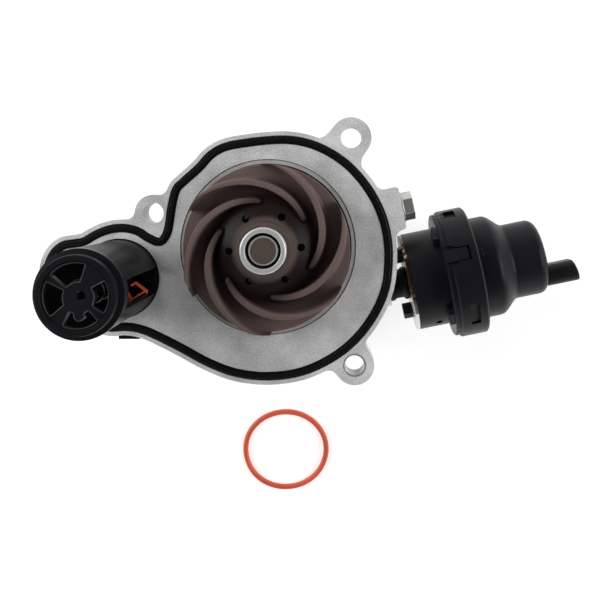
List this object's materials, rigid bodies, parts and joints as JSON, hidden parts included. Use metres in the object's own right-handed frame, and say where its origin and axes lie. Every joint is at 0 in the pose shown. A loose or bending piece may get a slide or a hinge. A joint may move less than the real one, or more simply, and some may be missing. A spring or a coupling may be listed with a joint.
{
  "type": "automotive water pump",
  "caption": "Belt-driven engine coolant pump with a flanged alloy housing, bladed impeller, sliding control sleeve, vacuum actuator, cartridge thermostat and a loose sealing ring.",
  "frame": {"origin": "on the shaft axis, in the plane of the mounting face that seals against the engine", "axes": "+Z along the shaft, out of the mounting face towards the engine; +X towards the vacuum actuator, nearly along its axis; the belt pulley is at -Z"},
  "size_m": [0.2373, 0.1863, 0.1282],
  "materials": {
    "cast_aluminium": "blasted casting with a machined face",
    "gasket_rubber": "moulded, slightly glossy",
    "black_rubber": "moulded, matte",
    "orange_rubber": "smooth moulded silicone",
    "machined_steel": "machined",
    "turned_steel": "fine turning marks",
    "sleeve_steel": "drawn, satin",
    "zinc_steel": "zinc plated",
    "black_steel": "black phosphate",
    "bracket_steel": "zinc plated with a warm tint",
    "brass": "machined",
    "impeller_plastic": "moulded, satin, brown grey",
    "seal_ceramic": "lapped",
    "pulley_paint": "black coating",
    "black_plastic": "moulded, fine grain",
    "gloss_black_plastic": "moulded, satin gloss"
  },
  "bodies": {
    "housing": {"pump_housing": "cast_aluminium", "housing_gasket": "gasket_rubber", "dowel_sleeve": "machined_steel", "coolant_plug": "zinc_steel", "plug_washer": "zinc_steel", "bearing_outer_ring": "machined_steel", "bearing_seals": "black_rubber", "seal_cup": "machined_steel", "seal_spring": "machined_steel", "seal_carbon_ring": "black_plastic", "rod_bush": "brass", "rod_seal": "black_rubber", "rod_boot": "black_rubber", "actuator_bracket": "bracket_steel", "bracket_screws": "zinc_steel", "actuator_can": "black_plastic", "actuator_nuts": "black_steel", "rolling_diaphragm": "black_rubber", "actuator_spring": "machined_steel", "clamp_ring": "black_plastic", "bell_cover": "black_plastic", "vacuum_port": "black_plastic", "thermostat_body": "gloss_black_plastic", "thermostat_end_cap": "black_plastic", "thermostat_port_seal": "orange_rubber", "thermostat_o_ring": "black_rubber", "wax_element": "brass", "thermostat_spring": "black_steel", "thermostat_plug": "black_plastic"},
    "rotor": {"pump_shaft": "machined_steel", "impeller": "impeller_plastic", "impeller_bush": "turned_steel", "seal_rotating_ring": "seal_ceramic", "drive_hub": "zinc_steel", "belt_pulley": "pulley_paint", "pulley_bolts": "zinc_steel"},
    "bearing_cage": {"bearing_balls": "machined_steel", "bearing_cages": "brass"},
    "rod": {"actuator_rod": "machined_steel", "diaphragm_plate": "machined_steel"},
    "sleeve": {"control_sleeve": "sleeve_steel", "sleeve_seal_ring": "black_rubber", "sleeve_lift_pin": "machined_steel"},
    "valve": {"thermostat_valve": "black_plastic"},
    "loose_ring": {"loose_sealing_ring": "orange_rubber"}
  },
  "joints": [
    {"name": "pump_spin", "type": "hinge", "parent": "housing", "child": "rotor", "pos_m": [0, 0, 0], "axis": [0, 0, 1], "continuous": true},
    {"name": "cage_spin", "type": "hinge", "parent": "housing", "child": "bearing_cage", "pos_m": [0, 0, 0], "axis": [0, 0, 1], "continuous": true},
    {"name": "rod_pull", "type": "slide", "parent": "housing", "child": "rod", "axis": [0.9796, 0.2011, 0], "range_m": [0, 0.012], "stiffness_N_per_m": 600, "springref_m": -0.004, "deforming": ["rolling_diaphragm", "actuator_spring"]},
    {"name": "sleeve_slide", "type": "slide", "parent": "housing", "child": "sleeve", "axis": [0, 0, 1], "range_m": [0, 0.015]},
    {"name": "thermostat_open", "type": "slide", "parent": "housing", "child": "valve", "axis": [0, 0, 1], "range_m": [0, 0.008], "stiffness_N_per_m": 400, "springref_m": -0.004, "deforming": ["thermostat_spring"]},
    {"name": "ring_lift", "type": "slide", "parent": "housing", "child": "loose_ring", "axis": [0, 0, 1], "range_m": [0, 0.06]}
  ],
  "couplings": [
    {"joint": "cage_spin", "follows": "pump_spin", "ratio": 0.38},
    {"joint": "sleeve_slide", "follows": "rod_pull", "ratio": 1.25}
  ]
}
